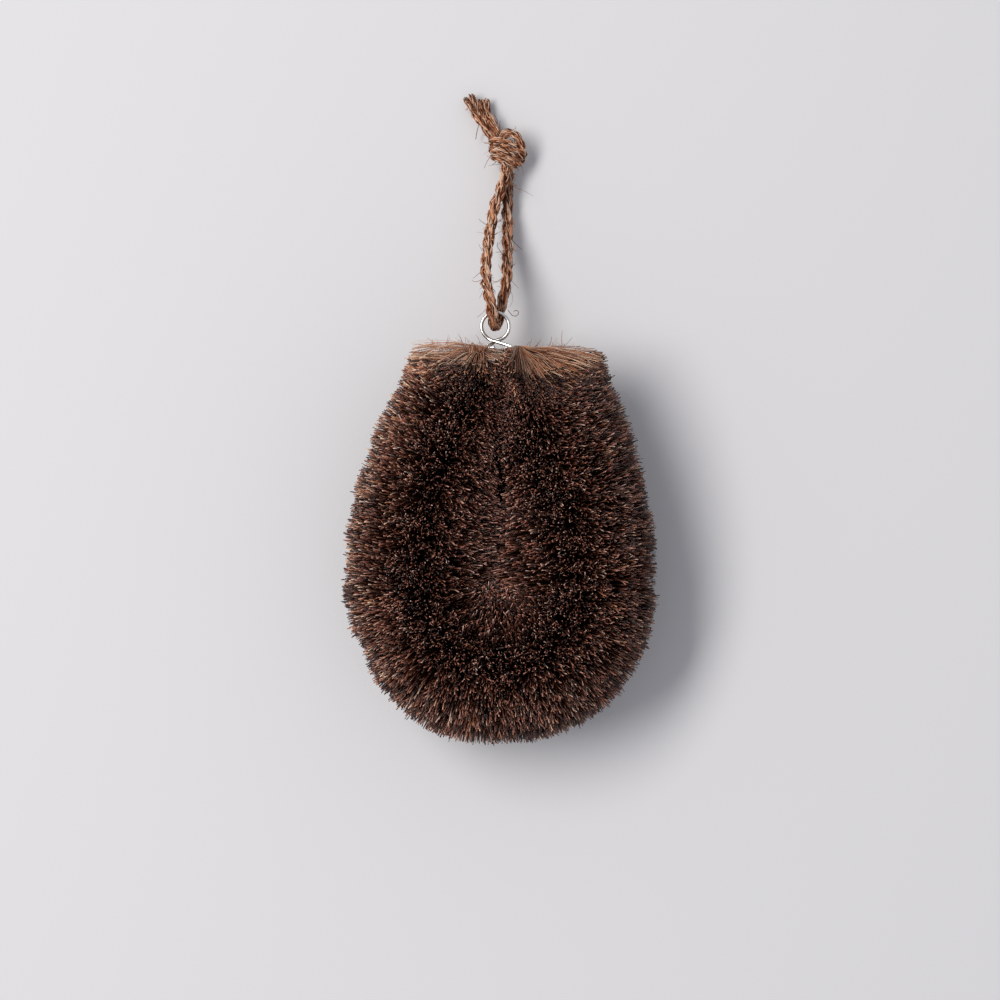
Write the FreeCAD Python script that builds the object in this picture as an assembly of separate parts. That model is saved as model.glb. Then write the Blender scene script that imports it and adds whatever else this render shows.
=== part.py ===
import FreeCAD
import Part
import math
import os

# Body brush of palm fibre on a bent, twisted wire rod, with a wire eye and a hanging loop of palm rope.
# Millimetres. It lies on its bristles: +X to its right, +Y towards the eye, +Z up, the table at Z = 0.
# The origin is on the table, under the middle of the brush and its eye.

Vector = FreeCAD.Vector
UP = Vector(0, 0, 1)

# --- driving dimensions -------------------------------------------------------------------------
FIBRE_LENGTH = 25.0          # from the rod's axis to the trimmed tips
BEND_RADIUS = 25.0           # rod axis round the foot of the brush
ROD_HEIGHT = 76.0            # from the centre of the foot bend up to the rod's two ends
ROD_END_GAP = 12.0           # between the two rod ends, centre to centre
NECK_RADIUS = 42.0           # the rod's reverse bend below its ends
TUFTS_IN_BEND = 6
TUFTS_IN_LEG = 4
TUFTS_IN_NECK = 2
TUFT_GAP = 0.3               # between one tuft and the next, and between the two legs
TUFT_EDGE = 1.6              # how far a tuft's trimmed rim falls away at its two faces
TUFT_SIDES = 24              # flats round the bristle roll; one of them lies on the table

WIRE_DIAMETER = 1.2
BORE_CLEARANCE = 0.25        # between the twist and the fibre roots round it
BORE_SAG = 0.1               # the most that a straight stretch of the bore leaves the rod's arc
ROLL_SAG = 1.0               # the same for the trimmed outside of a tuft
STRAND_END_INSET = 2.0       # the twist stops this far below the face of the end tufts
STEPS_PER_TURN = 6           # straight stretches of a strand on each turn of the twist
STRAND_SIDES = 6
WIRE_SIDES = 10              # flats of the eye, the wire ends and the bores round the rod
ROPE_SIDES = 12              # flats of the rope and its knot; one of them lies on the table

EYE_RADIUS = 4.5             # of the wire's centreline
EYE_SIDE = -1.5              # the eye stands this far to one side of the middle
EYE_RISE = 8.9               # from the rod's ends to the centre of the eye
EYE_DROP = 4.0               # the eye hangs this far below the rod's axis
EYE_OPEN_RIGHT = -75.0       # degrees, where the ring leaves for the left rod end
EYE_OPEN_LEFT = 225.0        # degrees, where the ring leaves for the right rod end

ROPE_DIAMETER = 3.8
ROPE_RUN_SHARE = 0.45        # of the shorter run, taken by the arc at each point of the route
KNOT_RADIUS = 5.7
KNOT_LENGTH = 13.2
KNOT_WRAPS = 3
KNOT_GROOVE = 1.0            # depth of the grooves between the knot's wraps
STEPS_PER_WRAP = 4
KNOT_SIDE = 2.2              # the knot lies this far to one side of the middle
KNOT_REACH = 46.0            # from the top of the eye to the knot
ENTRY_SPREAD = 2.05          # the two legs enter the knot this far above and below its axis

# --- values that follow ---------------------------------------------------------------------------
ROD_Z = FIBRE_LENGTH
EYE_Z = ROD_Z - EYE_DROP
WIRE_RADIUS = WIRE_DIAMETER / 2
WIRE_GAP = WIRE_DIAMETER / 5   # between the two strands; their straight stretches take most of it
ROPE_RADIUS = ROPE_DIAMETER / 2
STRAND_OFFSET = WIRE_RADIUS + WIRE_GAP / 2
BORE_RADIUS = STRAND_OFFSET + WIRE_RADIUS + BORE_CLEARANCE

LEG_TILT = 2 * math.atan((BEND_RADIUS - ROD_END_GAP / 2) / ROD_HEIGHT)
LEG_RADIUS = ROD_HEIGHT / math.sin(LEG_TILT) - NECK_RADIUS

EYE_TOP = ROD_HEIGHT + EYE_RISE + EYE_RADIUS + WIRE_RADIUS
FOOT = -(BEND_RADIUS + FIBRE_LENGTH)
BEND_Y = -(EYE_TOP + FOOT) / 2


def rod_arcs():
    """The rod's axis from its left end round the foot to its right end. Each arc is its centre, radius,
    first angle and turn in degrees, how many tufts it carries, and its side: -1 left, 1 right, 0 both."""
    tilt = math.degrees(LEG_TILT)
    neck_x = ROD_END_GAP / 2 + NECK_RADIUS
    leg_x = LEG_RADIUS - BEND_RADIUS
    ends_y = BEND_Y + ROD_HEIGHT
    return [
        (Vector(-neck_x, ends_y, ROD_Z), NECK_RADIUS, 0.0, -tilt, TUFTS_IN_NECK, -1),
        (Vector(leg_x, BEND_Y, ROD_Z), LEG_RADIUS, 180.0 - tilt, tilt, TUFTS_IN_LEG, -1),
        (Vector(0, BEND_Y, ROD_Z), BEND_RADIUS, 180.0, 180.0, TUFTS_IN_BEND, 0),
        (Vector(-leg_x, BEND_Y, ROD_Z), LEG_RADIUS, 0.0, tilt, TUFTS_IN_LEG, 1),
        (Vector(neck_x, ends_y, ROD_Z), NECK_RADIUS, 180.0 + tilt, -tilt, TUFTS_IN_NECK, 1),
    ]


def arc_length(arc):
    return arc[1] * math.radians(abs(arc[3]))


def rod_length():
    return sum(arc_length(arc) for arc in rod_arcs())


def rod_at(distance):
    """The rod's axis at a distance from its left end: the point, and the way to the brush's outside."""
    for arc in rod_arcs():
        if distance <= arc_length(arc) + 1e-9:
            break
        distance -= arc_length(arc)
    centre, radius, first, turn = arc[:4]
    angle = math.radians(first + turn * distance / arc_length(arc))
    outward = Vector(math.cos(angle), math.sin(angle), 0)
    side = outward if turn > 0 else -outward
    return centre + outward * radius, side


def save(name, shape):
    if not shape.isValid():
        raise ValueError(name + " is not a valid solid")
    shape.exportStep(os.path.join("parts", name + ".step"))
    print(f"{name}: {len(shape.Solids)} solid, {shape.Volume:.1f} mm3")


# --- paths and tubes --------------------------------------------------------------------------------
def rounded_path(points, report=None):
    """Straight runs joined by tangent arcs, as edges. report prints the arcs' radii under that name."""
    edges = []
    radii = []
    start = points[0]
    for before, corner, after in zip(points, points[1:], points[2:]):
        back = before - corner
        ahead = after - corner
        cut = ROPE_RUN_SHARE * min(back.Length, ahead.Length)
        back.normalize()
        ahead.normalize()
        turn = math.pi - back.getAngle(ahead)
        radius = cut / math.tan(turn / 2)
        inward = (back + ahead).normalize()
        middle = corner + inward * (radius / math.cos(turn / 2) - radius)
        arc_start = corner + back * cut
        arc_end = corner + ahead * cut
        edges.append(Part.LineSegment(start, arc_start).toShape())
        edges.append(Part.Arc(arc_start, middle, arc_end).toShape())
        radii.append(radius)
        start = arc_end
    edges.append(Part.LineSegment(start, points[-1]).toShape())
    if report:
        print(report, "arc radii", [round(r, 1) for r in radii])
    return edges


def polygon(centre, across, along, radius, sides, turned=0.5):
    """The corners of an even polygon of a circle's area, in the plane of two unit vectors."""
    corner = radius * math.sqrt(2 * math.pi / (sides * math.sin(2 * math.pi / sides)))
    angles = [2 * math.pi * (i + turned) / sides for i in range(sides)]
    return [centre + across * (corner * math.cos(a)) + along * (corner * math.sin(a)) for a in angles]


def closed(corners):
    return Part.makePolygon(corners + corners[:1])


def swept_round(edges, radius, sides, start, direction):
    """A solid of round section, drawn with flats, along edges that follow one another."""
    across = direction.cross(UP).normalize()
    along = across.cross(direction).normalize()
    ring = closed(polygon(start, across, along, radius, sides))
    return Part.Wire(edges).makePipeShell([ring], True, False)


def tube(points, radius, sides, report=None):
    solid = swept_round(rounded_path(points, report), radius, sides, points[0], points[1] - points[0])
    length = Part.Wire(rounded_path(points)).Length
    if report:
        share = solid.Volume / (math.pi * radius ** 2 * length)
        print(f"{report}: {length:.1f} mm long, volume {share:.3f} of section times length")
    return solid


def flat_faces(a, b, c, d):
    """One face through four corners where they lie in a plane, or else two triangles."""
    normal = (b - a).cross(c - a).normalize()
    if abs((d - a).dot(normal)) < 1e-6:
        return [Part.Face(closed([a, b, c, d]))]
    return [Part.Face(closed([a, b, c])), Part.Face(closed([a, c, d]))]


def skinned(rings):
    """The solid whose skin joins closed rings of as many corners each, with a flat face at both ends."""
    faces = [Part.Face(closed(rings[0])), Part.Face(closed(rings[-1]))]
    for first, second in zip(rings, rings[1:]):
        for i in range(len(first)):
            faces += flat_faces(first[i - 1], first[i], second[i], second[i - 1])
    solid = Part.Solid(Part.Shell(faces))
    if solid.Volume < 0:
        solid.reverse()
    return solid


# --- fibre tufts --------------------------------------------------------------------------------------
def roll_ring(arc, degrees, length):
    """The outline of the bristle roll across the rod, where its fibres are that long.
    Its flats touch the circle of that radius, and it stops short of the arc's own centre."""
    centre, radius = arc[:2]
    outward = Vector(math.cos(math.radians(degrees)), math.sin(math.radians(degrees)), 0)
    corner = length / math.cos(math.pi / TUFT_SIDES)
    angles = [2 * math.pi * (i + 0.5) / TUFT_SIDES for i in range(TUFT_SIDES)]
    return [
        centre + outward * max(radius + corner * math.cos(a), TUFT_GAP) + UP * (corner * math.sin(a))
        for a in angles
    ]


def bore_ring(arc, degrees):
    centre, radius = arc[:2]
    outward = Vector(math.cos(math.radians(degrees)), math.sin(math.radians(degrees)), 0)
    return polygon(centre + outward * radius, outward, UP, BORE_RADIUS, WIRE_SIDES)


def stations(start, end, radius, sag):
    """Angles from start to end, so close that a chord at that radius leaves its arc by sag at most."""
    most = 2 * math.degrees(math.acos(1 - sag / radius))
    steps = math.ceil(abs(end - start) / most)
    return [start + (end - start) * i / steps for i in range(steps + 1)]


def tuft(arc, index):
    """The fibres that one turn of the twist grips: a wedge of the bristle roll, its rim falling away."""
    centre, radius, first, turn, count, side = arc
    way = math.copysign(1, turn)
    gap = way * math.degrees(TUFT_GAP / 2 / radius)
    edge = way * math.degrees(TUFT_EDGE / (radius + FIBRE_LENGTH))
    start = first + turn * index / count + gap
    end = first + turn * (index + 1) / count - gap
    short = FIBRE_LENGTH - TUFT_EDGE
    full = stations(start + edge, end - edge, radius + FIBRE_LENGTH, ROLL_SAG)
    wedge = skinned(
        [roll_ring(arc, start, short)]
        + [roll_ring(arc, degrees, FIBRE_LENGTH) for degrees in full]
        + [roll_ring(arc, end, short)]
    )
    inner = stations(start - gap, end + gap, radius, BORE_SAG)
    bore = skinned([bore_ring(arc, degrees) for degrees in inner])
    return on_own_side(wedge.cut(bore), side)


def on_own_side(wedge, side):
    """The fibres of the two legs meet at the middle of the brush, and neither crosses it."""
    if side:
        size = 8 * FIBRE_LENGTH
        room = Part.makeBox(size, size, size)
        room.translate(Vector(TUFT_GAP / 2 if side > 0 else -TUFT_GAP / 2 - size, -size / 2, -size / 2))
        wedge = wedge.common(room)
    return max(wedge.Solids, key=lambda solid: solid.Volume)


def fibre_tufts():
    tufts = []
    for arc in rod_arcs():
        for index in range(arc[4]):
            tufts.append(tuft(arc, index))
    return tufts


# --- wire -----------------------------------------------------------------------------------------------
def core_strand(phase, turns):
    """One of the rod's two strands: a helix about the bent axis. Both strands start and end upright."""
    length = rod_length() - 2 * STRAND_END_INSET
    steps = turns * STEPS_PER_TURN
    lead = math.atan(2 * math.pi * STRAND_OFFSET * turns / length)
    rings = []
    for i in range(steps + 1):
        middle, side = rod_at(STRAND_END_INSET + length * i / steps)
        angle = phase + 2 * math.pi * i / STEPS_PER_TURN
        out = side * math.sin(angle) + UP * math.cos(angle)
        round_about = side * math.cos(angle) - UP * math.sin(angle)
        travel = UP.cross(side) * math.cos(lead) + round_about * math.sin(lead)
        across = travel.cross(UP).normalize()
        along = across.cross(travel)
        rings.append(polygon(middle + out * STRAND_OFFSET, across, along, WIRE_RADIUS, STRAND_SIDES))
    return skinned(rings)


def rod_end(side, up):
    """Where a strand stops inside the end tuft: side is -1 left or 1 right, up is 1 for the upper strand."""
    return Vector(
        side * ROD_END_GAP / 2, BEND_Y + ROD_HEIGHT - STRAND_END_INSET, ROD_Z + up * STRAND_OFFSET
    )


def eye_centre():
    return Vector(EYE_SIDE, BEND_Y + ROD_HEIGHT + EYE_RISE, EYE_Z)


def on_eye(degrees):
    angle = math.radians(degrees)
    return eye_centre() + Vector(math.cos(angle), math.sin(angle), 0) * EYE_RADIUS


def along_eye(degrees):
    angle = math.radians(degrees)
    return Vector(-math.sin(angle), math.cos(angle), 0)


def hanging_eye():
    """The lower strand's two ends cross above the end tufts and close in a ring."""
    ring_start = on_eye(EYE_OPEN_RIGHT)
    ring_end = on_eye(EYE_OPEN_LEFT)
    crossing = eye_centre() + Vector(-WIRE_RADIUS, -EYE_RADIUS - WIRE_RADIUS, 0)
    bend_y = BEND_Y + ROD_HEIGHT + WIRE_DIAMETER
    left = [
        rod_end(-1, -1) + Vector(0, TUFT_GAP, 0),
        Vector(-ROD_END_GAP / 2, bend_y, ROD_Z - STRAND_OFFSET),
        crossing + Vector(-WIRE_RADIUS, -WIRE_RADIUS, -WIRE_DIAMETER),
        ring_start - along_eye(EYE_OPEN_RIGHT) * WIRE_DIAMETER,
        ring_start,
    ]
    right = [
        ring_end,
        ring_end + along_eye(EYE_OPEN_LEFT) * (1.5 * WIRE_DIAMETER),
        crossing + Vector(WIRE_DIAMETER, 0, WIRE_DIAMETER),
        Vector(ROD_END_GAP / 2, bend_y, ROD_Z - STRAND_OFFSET),
        rod_end(1, -1) + Vector(0, TUFT_GAP, 0),
    ]
    ring = Part.Arc(ring_start, on_eye(90), ring_end).toShape()
    edges = rounded_path(left) + [ring] + rounded_path(right)
    return swept_round(edges, WIRE_RADIUS, WIRE_SIDES, left[0], left[1] - left[0])


def wire_end(side):
    """The upper strand's free end, bent over the middle of the end tufts so that the rod can't open."""
    start = rod_end(side, 1) + Vector(0, TUFT_GAP, 0)
    corner = Vector(start.x, BEND_Y + ROD_HEIGHT + WIRE_DIAMETER, start.z)
    tip = corner + Vector(-side * ROD_END_GAP * 0.36, WIRE_RADIUS, 1.5 * WIRE_RADIUS)
    return tube([start, corner, tip], WIRE_RADIUS, WIRE_SIDES)


# --- rope -------------------------------------------------------------------------------------------------
def knot_base():
    return Vector(KNOT_SIDE, eye_centre().y + EYE_RADIUS + KNOT_REACH, KNOT_RADIUS)


def loop_route():
    """From the knot down through the eye and back: the upper leg, the bight round the eye, the lower leg.
    The points near the eye stand from the middle of its top, and the others from the knot."""
    eye = eye_centre() + Vector(0, EYE_RADIUS, 0)
    knot = knot_base()
    upper = [
        knot + Vector(-0.6, 0, ENTRY_SPREAD),
        knot + Vector(-0.6, -4.5, ENTRY_SPREAD),
        knot + Vector(-2.8, -12.0, 2.0),
        knot + Vector(-5.0, -20.5, 4.6),
        knot + Vector(-6.2, -29.0, 8.8),
        knot + Vector(-6.0, -37.0, 13.4),
        eye + Vector(-1.2, 3.6, 3.1),
        eye + Vector(-0.5, -4.4, 3.4),
    ]
    lower = [
        eye + Vector(0.5, -4.4, -3.3),
        eye + Vector(1.8, 3.6, -3.5),
        knot + Vector(-0.3, -37.0, 9.4),
        knot + Vector(0.5, -29.0, 5.0),
        knot + Vector(0.8, -20.5, 0.8),
        knot + Vector(0.5, -12.0, -1.6),
        knot + Vector(0.2, -4.5, -ENTRY_SPREAD),
        knot + Vector(0.2, 0, -ENTRY_SPREAD),
    ]
    return upper + lower


def knot():
    """The overhand knot that ties both legs: a short barrel of rope wraps."""
    throat = KNOT_RADIUS - KNOT_GROOVE
    steps = KNOT_WRAPS * STEPS_PER_WRAP
    rings = []
    for i in range(steps + 1):
        swell = abs(math.sin(math.pi * i / STEPS_PER_WRAP))
        middle = knot_base() + Vector(0, KNOT_LENGTH * i / steps, 0)
        rings.append(flats_about(middle, throat + KNOT_GROOVE * swell))
    return skinned(rings)


def flats_about(middle, radius):
    """A ring about the knot's axis whose flats touch the circle of that radius."""
    corner = radius / math.cos(math.pi / ROPE_SIDES)
    angles = [2 * math.pi * (i + 0.5) / ROPE_SIDES for i in range(ROPE_SIDES)]
    return [middle + Vector(corner * math.cos(a), 0, corner * math.sin(a)) for a in angles]


def rope_tail(start, straight, tip):
    """One end of the rope past the knot: straight out of it, then over to the side and down on the table."""
    base = knot_base() + Vector(0, KNOT_LENGTH, 0)
    return tube([base + start, base + start + Vector(0, straight, 0), base + tip], ROPE_RADIUS, ROPE_SIDES)


def main():
    os.makedirs("parts", exist_ok=True)
    tufts = fibre_tufts()
    for number, solid in enumerate(tufts, 1):
        save(f"fibre_tuft_{number:02d}", solid)
    save("core_strand_lower", core_strand(math.pi, len(tufts)))
    save("core_strand_upper", core_strand(0, len(tufts)))
    save("hanging_eye", hanging_eye())
    save("wire_end_left", wire_end(-1))
    save("wire_end_right", wire_end(1))
    save("rope_loop", tube(loop_route(), ROPE_RADIUS, ROPE_SIDES, "rope_loop"))
    save("rope_knot", knot())
    floor = ROPE_RADIUS - KNOT_RADIUS
    save("rope_tail_left", rope_tail(Vector(-3.0, 0, -1.5), 2.2, Vector(-11.6, 11.0, floor)))
    save("rope_tail_right", rope_tail(Vector(1.2, 0, -1.0), 4.2, Vector(-6.4, 12.2, floor)))


main()
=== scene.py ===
# %% [markdown]
# # A palm-fibre body brush, laid flat
#
# The real thing is made of three materials: bristles combed from the bark fibre of a palm,
# two steel wires that grip them, and a short loop of rope laid from the same fibre.
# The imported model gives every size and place. This script dresses it: it hides the plain
# solids of soft things, builds the fibres one by one, and gives each surface its material.
# Everything is in metres. Sizes that a maker would quote are written in millimetres.

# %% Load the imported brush
import math
from collections import namedtuple
from types import SimpleNamespace

import bpy
import numpy as np
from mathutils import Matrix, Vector


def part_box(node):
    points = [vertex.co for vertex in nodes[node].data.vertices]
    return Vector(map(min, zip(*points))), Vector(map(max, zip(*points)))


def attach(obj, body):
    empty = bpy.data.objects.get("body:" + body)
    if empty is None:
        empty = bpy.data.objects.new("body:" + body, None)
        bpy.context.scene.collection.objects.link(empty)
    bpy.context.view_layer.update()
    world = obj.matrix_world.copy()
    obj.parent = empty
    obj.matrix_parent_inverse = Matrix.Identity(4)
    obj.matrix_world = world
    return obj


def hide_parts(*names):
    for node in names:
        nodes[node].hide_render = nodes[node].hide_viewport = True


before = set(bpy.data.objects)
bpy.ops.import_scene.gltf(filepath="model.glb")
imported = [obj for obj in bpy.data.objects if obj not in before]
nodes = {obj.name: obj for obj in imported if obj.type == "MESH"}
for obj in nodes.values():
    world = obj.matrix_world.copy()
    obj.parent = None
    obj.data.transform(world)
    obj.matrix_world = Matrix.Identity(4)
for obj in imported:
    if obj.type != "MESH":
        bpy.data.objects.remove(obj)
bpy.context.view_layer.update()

# %% [markdown]
# ## Four helpers
#
# Colours are written as the sRGB hex values that a paint chart would give. Shaders count in
# linear light, so one function turns the one into the other. A second adds a node with its
# settings and its links in one go, so that a material reads as a list of steps. A third
# starts a material, and a last one gives it to pieces.

# %% Units, colours and nodes
MM = 0.001


def linear(hex_colour):
    """An sRGB hex colour as the four linear numbers of a shader socket."""
    parts = [int(hex_colour[i : i + 2], 16) / 255 for i in (1, 3, 5)]
    light = [p / 12.92 if p <= 0.04045 else ((p + 0.055) / 1.055) ** 2.4 for p in parts]
    return (*light, 1.0)


def add(tree, kind, inputs=None, stops=None, **settings):
    """Adds one node. inputs are values or sockets to link; stops are a colour ramp's places."""
    node = tree.nodes.new(kind)
    for name, value in settings.items():
        setattr(node, name, value)
    for name, value in (inputs or {}).items():
        if isinstance(value, bpy.types.NodeSocket):
            tree.links.new(value, node.inputs[name])
        else:
            node.inputs[name].default_value = value
    if stops:
        ramp = node.color_ramp
        while len(ramp.elements) < len(stops):
            ramp.elements.new(0.5)
        for element, (place, colour) in zip(ramp.elements, stops):
            element.position = place
            element.color = linear(colour)
    return node


def new_material(name):
    """A named material with its node tree, its shader and the shader's settings to fill in."""
    material = bpy.data.materials.new(name)
    material.use_nodes = True
    tree = material.node_tree
    shader = tree.nodes["Principled BSDF"]
    return material, tree, shader


def cover(pieces, material):
    """Gives the pieces this material alone."""
    for piece in pieces:
        piece.data.materials.clear()
        piece.data.materials.append(material)
    print(material.name, "on", len(pieces), "pieces")


print("white is", linear("#ffffff")[0], "and mid grey", round(linear("#808080")[0], 3))

# %% [markdown]
# ## The camera
#
# A product picture taken straight down keeps the outline true, so the lens is long and far
# away. A field of 323 mm at the height of the rod holds the brush with room round it.

# %% Look straight down from a metre above the rod
ROD_Z = 25.0  # mm from the table to the rod's middle
FIELD = 323.4
AIM_Y = 8.5
CAMERA_RISE = 1000.0
FILM = 36.0

lens = bpy.data.cameras.new("overhead_camera")
lens.sensor_width = FILM
lens.lens = FILM * CAMERA_RISE / FIELD
lens.clip_start = 0.05
camera = bpy.data.objects.new("overhead_camera", lens)
camera.location = (0, AIM_Y * MM, (CAMERA_RISE + ROD_Z) * MM)
bpy.context.scene.collection.objects.link(camera)
bpy.context.scene.camera = camera
bpy.context.scene.view_settings.view_transform = "Standard"
print("camera lens", round(lens.lens, 1), "mm,", round(camera.location.z, 3), "m above the table")

# %% [markdown]
# ## The rope's route
#
# The hanging loop is one length of rope: down from the knot, round the wire eye and back.
# A limp rope lies in smooth curves, so its line is a NURBS spline through listed
# points. It slopes from the eye, which stands clear of the table, down to the knot, which
# lies on it. The bare spline is read back as a chain of points, and everything on the
# rope follows that chain.

# %% Lay the centreline of the loop
ROPE_DIAMETER = 3.8
loop_points = [
    (1.9, 116.4, 7.75), (0.9, 111.4, 7.75), (-1.9, 105.6, 7.7), (-3.5, 95.5, 10.3),
    (-4.7, 86.4, 14.5), (-4.7, 78.6, 19.1), (-3.1, 73.0, 24.1), (-2.0, 65.0, 24.4),
    (-1.0, 65.0, 17.7), (0.6, 73.0, 17.5), (2.0, 78.6, 15.1), (2.4, 86.4, 10.7),
    (2.5, 94.9, 6.5), (2.4, 103.4, 4.1), (2.6, 110.9, 3.65), (2.9, 116.4, 3.65),
]


def nurbs_line(name, points):
    """The points, in metres, of a smooth order 3 spline with these control points in mm."""
    curve = bpy.data.curves.new(name, "CURVE")
    curve.dimensions = "3D"
    curve.resolution_u = 24
    spline = curve.splines.new("NURBS")
    spline.points.add(len(points) - 1)
    for point, place in zip(spline.points, points):
        point.co = (*(Vector(place) * MM), 1.0)
    spline.order_u = 3
    spline.use_endpoint_u = True
    holder = bpy.data.objects.new(name, curve)
    bpy.context.scene.collection.objects.link(holder)
    bpy.context.view_layer.update()
    chain = bpy.data.meshes.new_from_object(holder)
    line = np.array([v.co for v in chain.vertices])
    bpy.data.objects.remove(holder)
    bpy.data.meshes.remove(chain)
    return line


def distance_along(line):
    """How far each point of a line is from its first one, along it."""
    return np.concatenate([[0], np.cumsum(np.linalg.norm(np.diff(line, axis=0), axis=1))])


def evenly(line, step):
    """The same line with its points step metres apart."""
    run = distance_along(line)
    wanted = np.linspace(0, run[-1], max(int(round(run[-1] / step)), 2) + 1)
    return np.stack([np.interp(wanted, run, line[:, i]) for i in range(3)], 1)


loop_line = evenly(nurbs_line("loop_route", loop_points), 0.6 * MM)
loop_run = distance_along(loop_line)[-1] / MM
print("loop centreline", round(loop_run, 1), "mm in", len(loop_line), "points")

# %% [markdown]
# ## Many thin threads in one mesh
#
# Bristles, rope fibres and stray hairs are all thin round threads. Hair particles would
# draw them, but a particle system isn't a solid piece that can be handed on, and thousands
# of curve objects would be slow. So one function sweeps a small ring along every line at
# once with arrays, and writes one mesh.
#
# Each thread also gets a place on a small map: across the map is the thread's own shade,
# and up it is the distance from root to tip. The materials read only that map, so a thread
# keeps its colour wherever it is bent.

# %% The thread builder
THREAD_BAND = 0.006  # the width that one thread takes on the map
CAP_RISE = 0.008  # half the height that a cut end takes on it


def carried_frames(lines):
    """For lines of shape (threads, rings, 3): two directions square to each line, with no twist."""
    along = np.gradient(lines, axis=1)
    along /= np.maximum(np.linalg.norm(along, axis=2, keepdims=True), 1e-12)
    side = np.zeros_like(lines)
    helper = np.where(np.abs(along[:, 0, 2:3]) > 0.8, [[1.0, 0, 0]], [[0, 0, 1.0]])
    side[:, 0] = np.cross(along[:, 0], helper)
    for k in range(lines.shape[1]):
        start = side[:, max(k - 1, 0)]
        flat = start - (start * along[:, k]).sum(1, keepdims=True) * along[:, k]
        side[:, k] = flat / np.maximum(np.linalg.norm(flat, axis=1, keepdims=True), 1e-12)
    return side, np.cross(along, side)


def thread_mesh(name, lines, radii, shades, sides=3, start=0.0, end=1.0):
    """One mesh of threads. radii has one number per ring, shades one per thread, from 0 to 1.

    start and end are the places up the map of a thread's root and tip, for all or for each.
    """
    count, rings = lines.shape[:2]
    side, rise = carried_frames(lines)
    turns = 2 * np.pi * np.arange(sides) / sides
    ring = side[:, :, None] * np.cos(turns)[:, None] + rise[:, :, None] * np.sin(turns)[:, None]
    places = lines[:, :, None] + ring * radii[:, :, None, None]

    index = np.arange(count * rings * sides).reshape(count, rings, sides)
    after = np.roll(index, -1, axis=2)
    walls = np.stack([index[:, :-1], after[:, :-1], after[:, 1:], index[:, 1:]], -1)
    caps = np.concatenate([index[:, 0, ::-1], index[:, -1]])
    corners = np.concatenate([walls.reshape(-1), caps.reshape(-1)])
    wall_count = count * (rings - 1) * sides
    cap_starts = wall_count * 4 + np.arange(2 * count) * sides
    starts = np.concatenate([np.arange(wall_count) * 4, cap_starts])

    middle = THREAD_BAND + (1 - 2 * THREAD_BAND) * shades
    left = middle[:, None] + (np.arange(sides) / sides - 0.5) * THREAD_BAND
    low, high = np.full(count, start), np.full(count, end)
    up = low[:, None] + (high - low)[:, None] * np.arange(rings) / (rings - 1)
    u = np.stack([left, left + THREAD_BAND / sides, left + THREAD_BAND / sides, left], -1)
    u = np.broadcast_to(u[:, None], (count, rings - 1, sides, 4))
    v = np.stack([up[:, :-1], up[:, :-1], up[:, 1:], up[:, 1:]], -1)
    v = np.broadcast_to(v[:, :, None], (count, rings - 1, sides, 4))
    round_u = middle[:, None] + 0.5 * THREAD_BAND * np.cos(turns)
    cap_u = np.concatenate([round_u, round_u])
    cap_v = np.concatenate([low + CAP_RISE, high - CAP_RISE])[:, None]
    cap_v = cap_v + CAP_RISE * np.sin(turns)
    on_map = np.stack(
        [
            np.concatenate([u.reshape(-1), cap_u.reshape(-1)]),
            np.concatenate([v.reshape(-1), cap_v.reshape(-1)]),
        ],
        1,
    )

    mesh = bpy.data.meshes.new(name)
    mesh.vertices.add(count * rings * sides)
    mesh.loops.add(len(corners))
    mesh.polygons.add(len(starts))
    mesh.vertices.foreach_set("co", places.astype(np.float32).reshape(-1))
    mesh.loops.foreach_set("vertex_index", corners.astype(np.int32))
    mesh.polygons.foreach_set("loop_start", starts.astype(np.int32))
    mesh.update(calc_edges=True)
    smooth = np.ones(len(starts), bool)
    smooth[wall_count:] = False
    mesh.polygons.foreach_set("use_smooth", smooth)
    layer = mesh.uv_layers.new(name="OFBake")
    layer.uv.foreach_set("vector", on_map.astype(np.float32).reshape(-1))
    mesh.validate()
    piece = bpy.data.objects.new(name, mesh)
    bpy.context.scene.collection.objects.link(piece)
    return piece


def joined(name, parts):
    """Several pieces as one."""
    with bpy.context.temp_override(active_object=parts[0], selected_editable_objects=parts):
        bpy.ops.object.join()
    parts[0].name = parts[0].data.name = name
    return parts[0]


print("thread builder ready; a thread takes", THREAD_BAND, "of the map's width")

# %% [markdown]
# ## Laying a rope
#
# Rope is made in two twists. Fibres are spun into a strand one way, and three strands are
# laid together the other way, so that the twists lock and the outer fibres end up running
# almost along the rope. Drawing those two twists gives the lobed outline and the streaks
# for free, where a bump pattern on a plain tube would keep a smooth edge.
#
# For a rope of diameter d, three touching strands are each 0.46 d across, and their
# middles stand 0.27 d from the rope's line. Nothing spun by hand is even, so every radius
# and angle wanders a little along the rope.

# %% Let numbers wander, and cut stretches of line


def smooth_noise(rng, rows, places, wavelength, size):
    """For each row a gently wandering number along places, of about the given size."""
    total = np.zeros((rows, len(places)))
    for share in (1.0, 0.55, 0.3):
        phase = rng.uniform(0, 2 * np.pi, (rows, 1))
        pace = rng.uniform(0.7, 1.3, (rows, 1)) * 2 * np.pi / (wavelength * share)
        total += share * np.sin(places[None] * pace + phase)
    return total * size / 1.2


def evenly_between(line, first, last, count):
    """The stretch of line between two shares of its length, in count points."""
    run = np.linspace(0, 1, len(line))
    wanted = np.linspace(first, last, count)
    return np.stack([np.interp(wanted, run, line[:, i]) for i in range(3)], 1)


print("helpers for uneven rope ready")

# %% Lay three strands of spun fibre along a line
LAY = 15.5  # one full turn of the strands takes this many mm of rope
STRANDS = 3
STRAND_RADIUS = 0.232  # shares of the rope's diameter
STRAND_OFFSET = 0.268
STRAND_FIBRES = 21
FIBRE_ACROSS = 0.35  # mm, drawn coarser than real fibre so that it shows


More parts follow.
